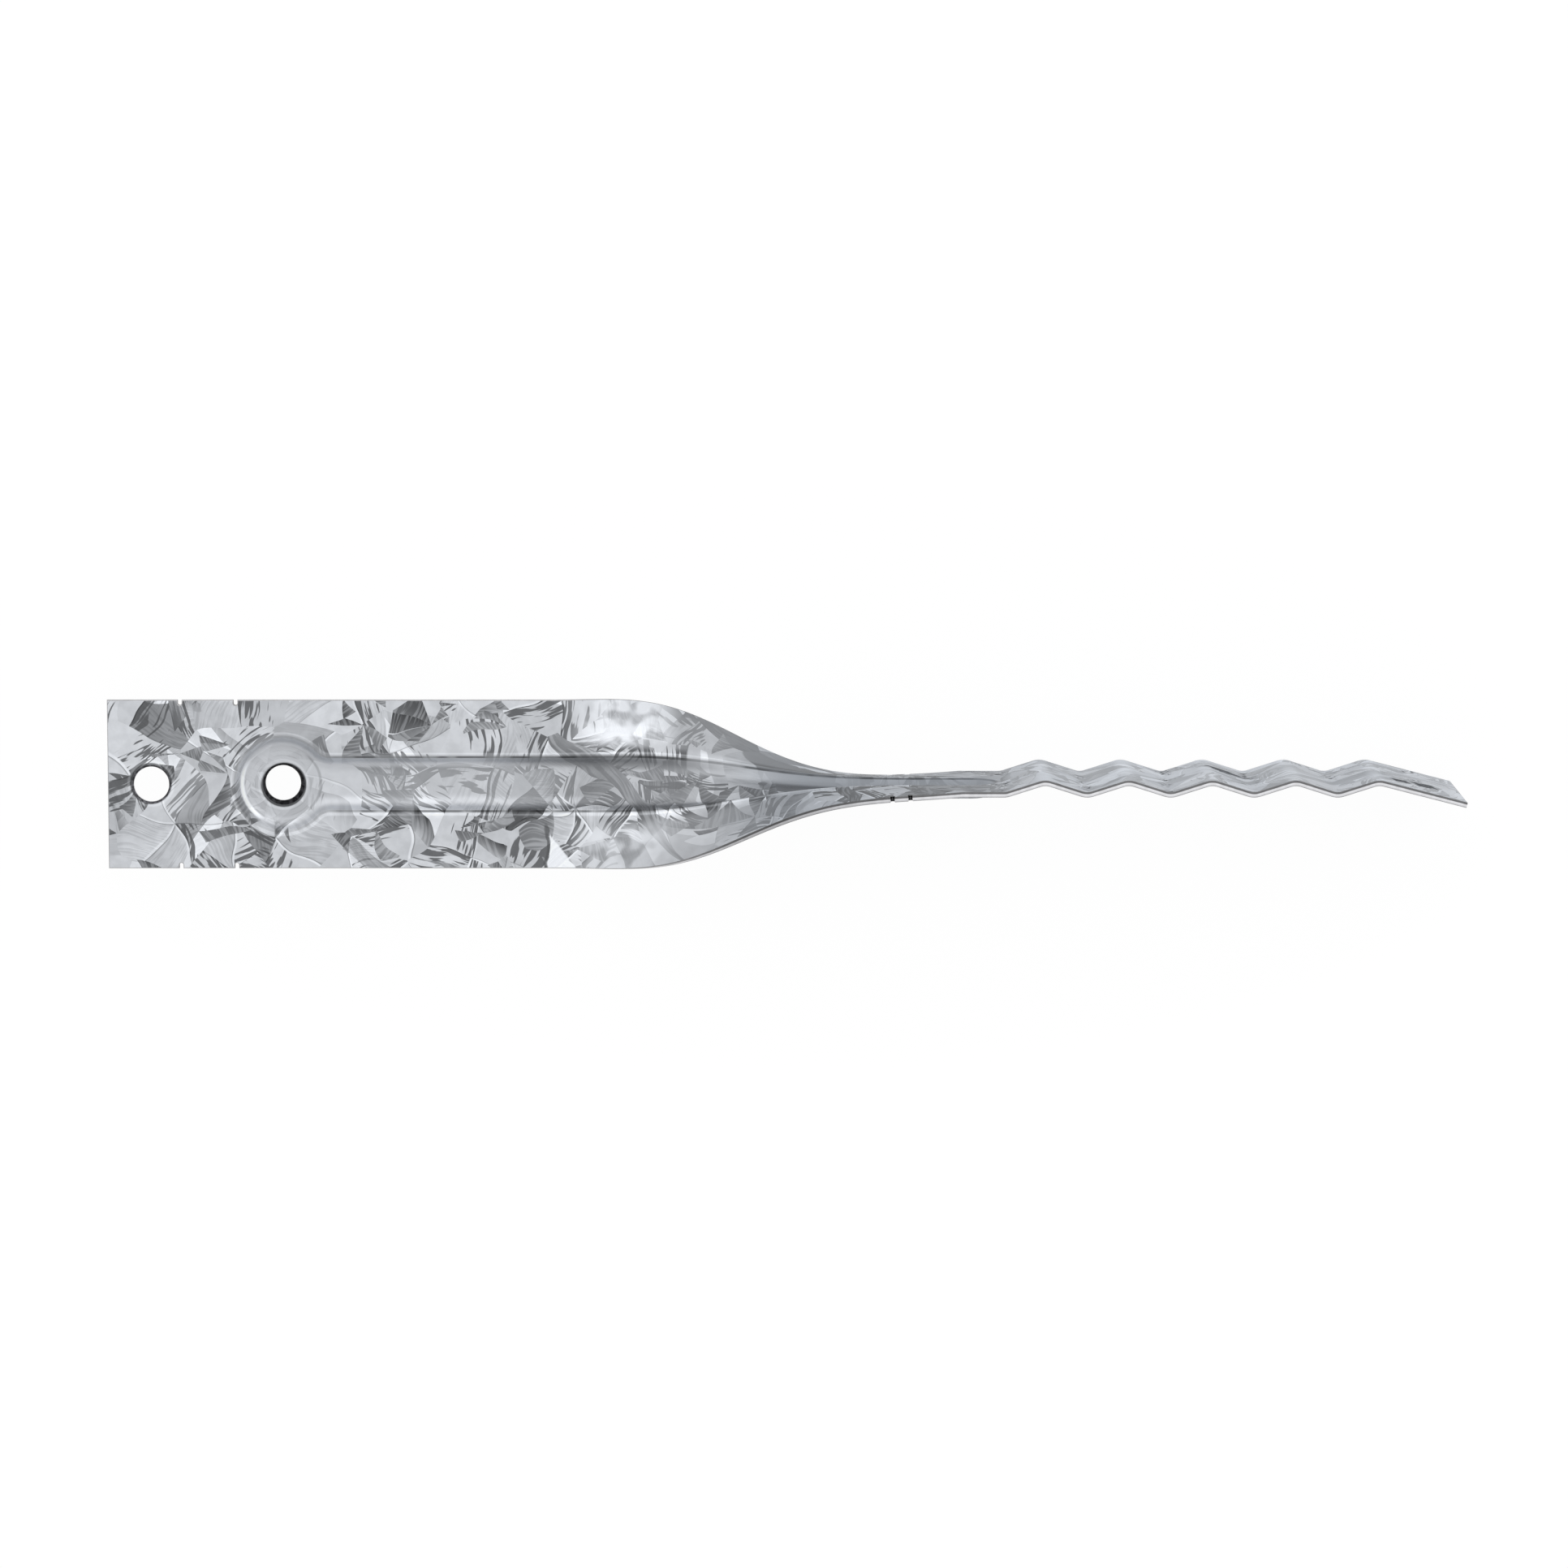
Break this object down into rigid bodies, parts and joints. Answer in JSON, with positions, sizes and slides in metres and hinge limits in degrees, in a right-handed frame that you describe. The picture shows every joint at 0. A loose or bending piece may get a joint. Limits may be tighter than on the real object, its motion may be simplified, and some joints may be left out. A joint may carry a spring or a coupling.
{
  "type": "twisted veneer tie",
  "caption": "Flat galvanised steel strip tie with nail holes, a pressed stiffening channel, a quarter twist and a crimped tail for bedding in mortar.",
  "frame": {"origin": "centre of the end nail hole, in the middle of the sheet", "axes": "+X along the strip from the nailing end to the crimped tail, +Z out of the recessed face of the nailing plate"},
  "size_m": [0.1991, 0.025, 0.0252],
  "materials": {
    "galvanised_steel": "hot-dip galvanised sheet with a bold grey spangle, sheared edges"
  },
  "bodies": {
    "root": {"veneer_tie": "galvanised_steel"}
  },
  "joints": []
}
